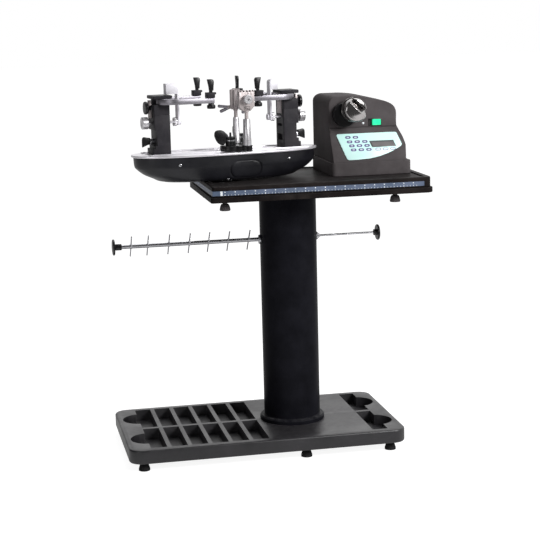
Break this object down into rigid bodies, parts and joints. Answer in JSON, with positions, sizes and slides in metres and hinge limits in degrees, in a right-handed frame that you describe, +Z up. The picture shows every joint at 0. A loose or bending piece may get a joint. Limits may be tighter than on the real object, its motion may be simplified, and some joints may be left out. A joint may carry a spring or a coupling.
{
  "type": "racket stringing machine",
  "caption": "Stand-mounted stringing machine: a slotted base and round column carry a tray with a clamping turntable and an electric tension head.",
  "frame": {"origin": "on the floor, under the middle of the outer box of the whole machine", "axes": "+Z up, -Y towards the user who works at the front, +X towards the tension head"},
  "size_m": [0.8928, 0.442, 1.0734],
  "materials": {
    "moulded_plastic": "fine-grained charcoal moulding",
    "powder_coat": "satin black powder coat",
    "rubber": "matt black rubber",
    "black_plastic": "black moulding with a soft sheen",
    "charcoal_plastic": "warm charcoal moulding",
    "stainless_steel": "turned stainless steel",
    "chrome": "polished chrome plate",
    "brushed_aluminium": "brushed aluminium",
    "cast_aluminium": "blasted cast aluminium",
    "strip_film": "printed blue scale film",
    "panel_film": "printed pale aqua membrane",
    "green_lens": "lit translucent green",
    "dark_paint": "satin dark grey paint on a casting"
  },
  "bodies": {
    "stand": {"base_foot_1": "rubber", "base_foot_2": "rubber", "base_foot_3": "rubber", "base_foot_4": "rubber", "base_foot_5": "rubber", "base_foot_6": "rubber", "base_tray": "moulded_plastic", "column_tube": "powder_coat", "reel_rod": "stainless_steel", "console_tray": "moulded_plastic", "ruler_strip": "strip_film", "turntable_pillar": "stainless_steel", "head_plinth": "charcoal_plastic", "head_housing": "charcoal_plastic", "control_panel": "panel_film", "gripper_boss": "black_plastic", "power_inlet": "black_plastic", "tension_drive": "cast_aluminium"},
    "divider_rod": {"divider_rod": "stainless_steel"},
    "divider_knob": {"divider_knob": "black_plastic"},
    "reel_knob": {"reel_knob": "black_plastic"},
    "turntable": {"turntable_hull": "moulded_plastic", "turntable_plate": "brushed_aluminium"},
    "gripper_drum": {"gripper_drum": "chrome"},
    "gripper_jaw": {"gripper_jaw": "chrome"},
    "power_switch": {"power_switch": "green_lens"},
    "left_post": {"left_post": "dark_paint"},
    "left_post_lever": {"left_post_lever": "black_plastic"},
    "left_arm_knob": {"left_arm_knob": "black_plastic"},
    "left_support": {"left_frame_support": "cast_aluminium"},
    "left_support_knob": {"left_support_knob": "chrome"},
    "left_front_arm": {"left_front_arm": "brushed_aluminium"},
    "left_front_clip": {"left_front_clip": "dark_paint"},
    "left_front_clip_knob": {"left_front_clip_knob": "black_plastic"},
    "left_rear_arm": {"left_rear_arm": "brushed_aluminium"},
    "left_rear_clip": {"left_rear_clip": "dark_paint"},
    "left_rear_clip_knob": {"left_rear_clip_knob": "black_plastic"},
    "right_post": {"right_post": "dark_paint"},
    "right_post_lever": {"right_post_lever": "black_plastic"},
    "right_arm_knob": {"right_arm_knob": "black_plastic"},
    "right_support": {"right_frame_support": "cast_aluminium"},
    "right_support_knob": {"right_support_knob": "chrome"},
    "right_front_arm": {"right_front_arm": "brushed_aluminium"},
    "right_front_clip": {"right_front_clip": "dark_paint"},
    "right_front_clip_knob": {"right_front_clip_knob": "black_plastic"},
    "right_rear_arm": {"right_rear_arm": "brushed_aluminium"},
    "right_rear_clip": {"right_rear_clip": "dark_paint"},
    "right_rear_clip_knob": {"right_rear_clip_knob": "black_plastic"},
    "front_clamp_base": {"front_clamp_base": "stainless_steel"},
    "front_clamp_arm": {"front_clamp_arm": "black_plastic"},
    "front_clamp_lock": {"front_clamp_lock": "black_plastic"},
    "front_clamp_head": {"front_clamp_head": "cast_aluminium"},
    "front_clamp_adjuster": {"front_clamp_adjuster": "chrome"},
    "front_clamp_lever": {"front_clamp_lever": "stainless_steel"},
    "rear_clamp_base": {"rear_clamp_base": "stainless_steel"},
    "rear_clamp_arm": {"rear_clamp_arm": "black_plastic"},
    "rear_clamp_lock": {"rear_clamp_lock": "black_plastic"},
    "rear_clamp_head": {"rear_clamp_head": "cast_aluminium"},
    "rear_clamp_adjuster": {"rear_clamp_adjuster": "chrome"},
    "rear_clamp_lever": {"rear_clamp_lever": "stainless_steel"}
  },
  "joints": [
    {"name": "divider_rod_turn", "type": "hinge", "parent": "stand", "child": "divider_rod", "pos_m": [-0.2336, 0, 0.6045], "axis": [1, 0, 0], "range_deg": [-90, 90]},
    {"name": "divider_knob_turn", "type": "hinge", "parent": "divider_rod", "child": "divider_knob", "pos_m": [-0.4336, 0, 0.6045], "axis": [-1, 0, 0], "continuous": true},
    {"name": "reel_knob_turn", "type": "hinge", "parent": "stand", "child": "reel_knob", "pos_m": [0.3364, 0, 0.606], "axis": [1, 0, 0], "continuous": true},
    {"name": "turntable_turn", "type": "hinge", "parent": "stand", "child": "turntable", "pos_m": [-0.1116, 0, 0.864], "axis": [0, 0, 1], "continuous": true},
    {"name": "gripper_turn", "type": "hinge", "parent": "stand", "child": "gripper_drum", "pos_m": [0.2554, -0.078, 0.9716], "axis": [0, -1, 0], "range_deg": [0, 300]},
    {"name": "gripper_jaw_slide", "type": "slide", "parent": "gripper_drum", "child": "gripper_jaw", "axis": [0.6428, 0, 0.766], "range_m": [-0.0015, 0.003]},
    {"name": "power_switch_rock", "type": "hinge", "parent": "stand", "child": "power_switch", "pos_m": [0.3314, -0.017, 0.9309], "axis": [0, 0, 1], "range_deg": [0, 8]},
    {"name": "left_post_slide", "type": "slide", "parent": "turntable", "child": "left_post", "axis": [0.9903, 0.1392, 0], "range_m": [-0.025, 0.03]},
    {"name": "left_post_lever_turn", "type": "hinge", "parent": "left_post", "child": "left_post_lever", "pos_m": [-0.32352, -0.02978, 0.9031], "axis": [0.9903, 0.1392, 0], "range_deg": [-90, 90]},
    {"name": "left_arm_knob_turn", "type": "hinge", "parent": "left_post", "child": "left_arm_knob", "pos_m": [-0.32352, -0.02978, 0.9976], "axis": [0.9903, 0.1392, 0], "range_deg": [-540, 360]},
    {"name": "left_support_slide", "type": "slide", "parent": "left_post", "child": "left_support", "axis": [0.9903, 0.1392, 0], "range_m": [-0.012, 0.0025]},
    {"name": "left_support_knob_turn", "type": "hinge", "parent": "left_post", "child": "left_support_knob", "pos_m": [-0.32946, -0.03062, 0.9556], "axis": [0.9903, 0.1392, 0], "range_deg": [-1080, 225]},
    {"name": "left_front_arm_swing", "type": "hinge", "parent": "left_post", "child": "left_front_arm", "pos_m": [-0.30291, -0.04708, 1.0136], "axis": [0, 0, -1], "range_deg": [-6, 4]},
    {"name": "left_front_clip_slide", "type": "slide", "parent": "left_front_arm", "child": "left_front_clip", "axis": [0.9903, 0.1392, 0], "range_m": [-0.035, 0.0015]},
    {"name": "left_front_clip_knob_turn", "type": "hinge", "parent": "left_front_clip", "child": "left_front_clip_knob", "pos_m": [-0.15985, -0.07343, 1.0526], "axis": [0, 0, 1], "continuous": true},
    {"name": "left_rear_arm_swing", "type": "hinge", "parent": "left_post", "child": "left_rear_arm", "pos_m": [-0.30848, -0.00747, 1.0136], "axis": [0, 0, 1], "range_deg": [-6, 4]},
    {"name": "left_rear_clip_slide", "type": "slide", "parent": "left_rear_arm", "child": "left_rear_clip", "axis": [0.9903, 0.1392, 0], "range_m": [-0.035, 0.0015]},
    {"name": "left_rear_clip_knob_turn", "type": "hinge", "parent": "left_rear_clip", "child": "left_rear_clip_knob", "pos_m": [-0.17822, 0.05729, 1.0526], "axis": [0, 0, 1], "continuous": true},
    {"name": "right_post_slide", "type": "slide", "parent": "turntable", "child": "right_post", "axis": [-0.9903, -0.1392, 0], "range_m": [-0.025, 0.004]},
    {"name": "right_post_lever_turn", "type": "hinge", "parent": "right_post", "child": "right_post_lever", "pos_m": [0.10032, 0.02978, 0.9031], "axis": [-0.9903, -0.1392, 0], "range_deg": [-90, 90]},
    {"name": "right_arm_knob_turn", "type": "hinge", "parent": "right_post", "child": "right_arm_knob", "pos_m": [0.10032, 0.02978, 0.9976], "axis": [-0.9903, -0.1392, 0], "range_deg": [-270, 0]},
    {"name": "right_support_slide", "type": "slide", "parent": "right_post", "child": "right_support", "axis": [-0.9903, -0.1392, 0], "range_m": [-0.012, 0.0025]},
    {"name": "right_support_knob_turn", "type": "hinge", "parent": "right_post", "child": "right_support_knob", "pos_m": [0.10626, 0.03062, 0.9556], "axis": [-0.9903, -0.1392, 0], "range_deg": [-1080, 225]},
    {"name": "right_front_arm_swing", "type": "hinge", "parent": "right_post", "child": "right_front_arm", "pos_m": [0.08528, 0.00747, 1.0136], "axis": [0, 0, 1], "range_deg": [-3, 0]},
    {"name": "right_front_clip_slide", "type": "slide", "parent": "right_front_arm", "child": "right_front_clip", "axis": [-0.9903, -0.1392, 0], "range_m": [-0.017, 0.002]},
    {"name": "right_front_clip_knob_turn", "type": "hinge", "parent": "right_front_clip", "child": "right_front_clip_knob", "pos_m": [-0.02319, -0.05422, 1.0526], "axis": [0, 0, 1], "continuous": true},
    {"name": "right_rear_arm_swing", "type": "hinge", "parent": "right_post", "child": "right_rear_arm", "pos_m": [0.07971, 0.04708, 1.0136], "axis": [0, 0, -1], "range_deg": [-3, 0]},
    {"name": "right_rear_clip_slide", "type": "slide", "parent": "right_rear_arm", "child": "right_rear_clip", "axis": [-0.9903, -0.1392, 0], "range_m": [-0.03, 0.005]},
    {"name": "right_rear_clip_knob_turn", "type": "hinge", "parent": "right_rear_clip", "child": "right_rear_clip_knob", "pos_m": [-0.0584, 0.07413, 1.0526], "axis": [0, 0, 1], "continuous": true},
    {"name": "front_clamp_slide", "type": "slide", "parent": "turntable", "child": "front_clamp_base", "axis": [0.9903, 0.1392, 0], "range_m": [-0.05, 0.002]},
    {"name": "front_clamp_swivel", "type": "hinge", "parent": "front_clamp_base", "child": "front_clamp_arm", "pos_m": [-0.10322, -0.04527, 0.8776], "axis": [0, 0, 1], "range_deg": [-50, 2]},
    {"name": "front_clamp_lock_turn", "type": "hinge", "parent": "front_clamp_base", "child": "front_clamp_lock", "pos_m": [-0.10322, -0.04527, 0.8976], "axis": [0, 0, 1], "range_deg": [-40, 40]},
    {"name": "front_clamp_head_turn", "type": "hinge", "parent": "front_clamp_arm", "child": "front_clamp_head", "pos_m": [-0.06234, -0.08208, 0.9596], "axis": [0, 0, 1], "range_deg": [-30, 6]},
    {"name": "front_clamp_adjuster_turn", "type": "hinge", "parent": "front_clamp_head", "child": "front_clamp_adjuster", "pos_m": [-0.06012, -0.09792, 1.0154], "axis": [0.1392, -0.9903, 0], "continuous": true},
    {"name": "front_clamp_lever_swing", "type": "hinge", "parent": "front_clamp_head", "child": "front_clamp_lever", "pos_m": [-0.06447, -0.06693, 0.9894], "axis": [0.9903, 0.1392, 0], "range_deg": [-35, 20]},
    {"name": "rear_clamp_slide", "type": "slide", "parent": "turntable", "child": "rear_clamp_base", "axis": [0.9903, 0.1392, 0], "range_m": [-0.014, 0.045]},
    {"name": "rear_clamp_swivel", "type": "hinge", "parent": "rear_clamp_base", "child": "rear_clamp_arm", "pos_m": [-0.06156, 0.05349, 0.8776], "axis": [0, 0, 1], "range_deg": [-25, 8]},
    {"name": "rear_clamp_lock_turn", "type": "hinge", "parent": "rear_clamp_base", "child": "rear_clamp_lock", "pos_m": [-0.06156, 0.05349, 0.8976], "axis": [0, 0, 1], "range_deg": [-40, 40]},
    {"name": "rear_clamp_head_turn", "type": "hinge", "parent": "rear_clamp_arm", "child": "rear_clamp_head", "pos_m": [-0.07764, 0.00089, 0.9596], "axis": [0, 0, 1], "range_deg": [-45, 45]},
    {"name": "rear_clamp_adjuster_turn", "type": "hinge", "parent": "rear_clamp_head", "child": "rear_clamp_adjuster", "pos_m": [-0.06338, -0.00638, 1.0154], "axis": [0.891, -0.454, 0], "continuous": true},
    {"name": "rear_clamp_lever_swing", "type": "hinge", "parent": "rear_clamp_head", "child": "rear_clamp_lever", "pos_m": [-0.09127, 0.00783, 0.9894], "axis": [0.454, 0.891, 0], "range_deg": [-35, 20]}
  ],
  "couplings": [
    {"joint": "left_support_slide", "follows": "left_support_knob_turn", "m_per_rad": 0.0006366},
    {"joint": "left_front_arm_swing", "follows": "left_arm_knob_turn", "ratio": 0.011111},
    {"joint": "left_rear_arm_swing", "follows": "left_arm_knob_turn", "ratio": 0.011111},
    {"joint": "right_support_slide", "follows": "right_support_knob_turn", "m_per_rad": 0.0006366},
    {"joint": "right_front_arm_swing", "follows": "right_arm_knob_turn", "ratio": 0.011111},
    {"joint": "right_rear_arm_swing", "follows": "right_arm_knob_turn", "ratio": 0.011111}
  ]
}
